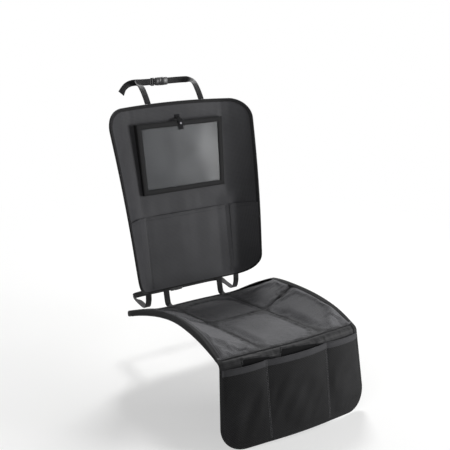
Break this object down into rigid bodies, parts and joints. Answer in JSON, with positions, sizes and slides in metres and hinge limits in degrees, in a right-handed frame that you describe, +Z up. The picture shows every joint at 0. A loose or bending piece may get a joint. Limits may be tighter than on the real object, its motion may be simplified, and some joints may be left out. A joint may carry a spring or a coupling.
{
  "type": "car seat protector mat",
  "caption": "Padded car seat protector: backrest panel with window pocket and pockets, quilted cushion mat, front flap with mesh pockets, straps and buckles.",
  "frame": {"origin": "on the centre line, in the crease where the plane behind the backrest panel meets the plane under the cushion mat", "axes": "+Z up, the longest extent; -Y the front, where the flap hangs; +X the shortest extent, to the right as seen from the front"},
  "size_m": [0.5314, 0.8166, 0.8711],
  "materials": {
    "panel_fabric": "smooth coated weave",
    "pad_fabric": "coarse speckled weave over foam",
    "grip_backing": "woven backing with grip dots",
    "binding_tape": "ribbed tape, sewn",
    "pocket_hem": "folded weave, sewn",
    "mesh_fabric": "open knitted mesh",
    "webbing": "woven polypropylene webbing",
    "clear_film": "clear gloss",
    "moulded_plastic": "satin moulded",
    "snap_metal": "plated"
  },
  "bodies": {
    "root": {"back_panel": "panel_fabric", "back_panel_binding": "binding_tape", "lower_pockets": "panel_fabric", "window_gusset_left": "binding_tape", "window_gusset_right": "binding_tape", "window_gusset_bottom": "binding_tape", "window_film": "clear_film", "window_frame": "binding_tape", "window_tab": "binding_tape", "window_snap": "snap_metal", "mat_backing": "grip_backing", "mat_binding": "binding_tape", "pad_left_rear": "pad_fabric", "pad_left_front": "pad_fabric", "pad_centre_rear": "pad_fabric", "pad_centre_front": "pad_fabric", "pad_right_rear": "pad_fabric", "pad_right_front": "pad_fabric", "front_flap": "panel_fabric", "pocket_hem": "pocket_hem", "mesh_pockets": "mesh_fabric", "connector_strap_left": "webbing", "connector_strap_right": "webbing", "anchor_patch_left": "moulded_plastic", "anchor_patch_right": "moulded_plastic", "upper_strap_left": "webbing", "upper_strap_right": "webbing", "upper_strap_tail": "webbing", "strap_slider": "moulded_plastic", "upper_buckle_socket": "moulded_plastic", "upper_buckle_plug": "moulded_plastic", "lower_strap_left": "webbing", "lower_strap_right": "webbing", "lower_buckle_socket": "moulded_plastic", "lower_buckle_plug": "moulded_plastic"}
  },
  "joints": []
}
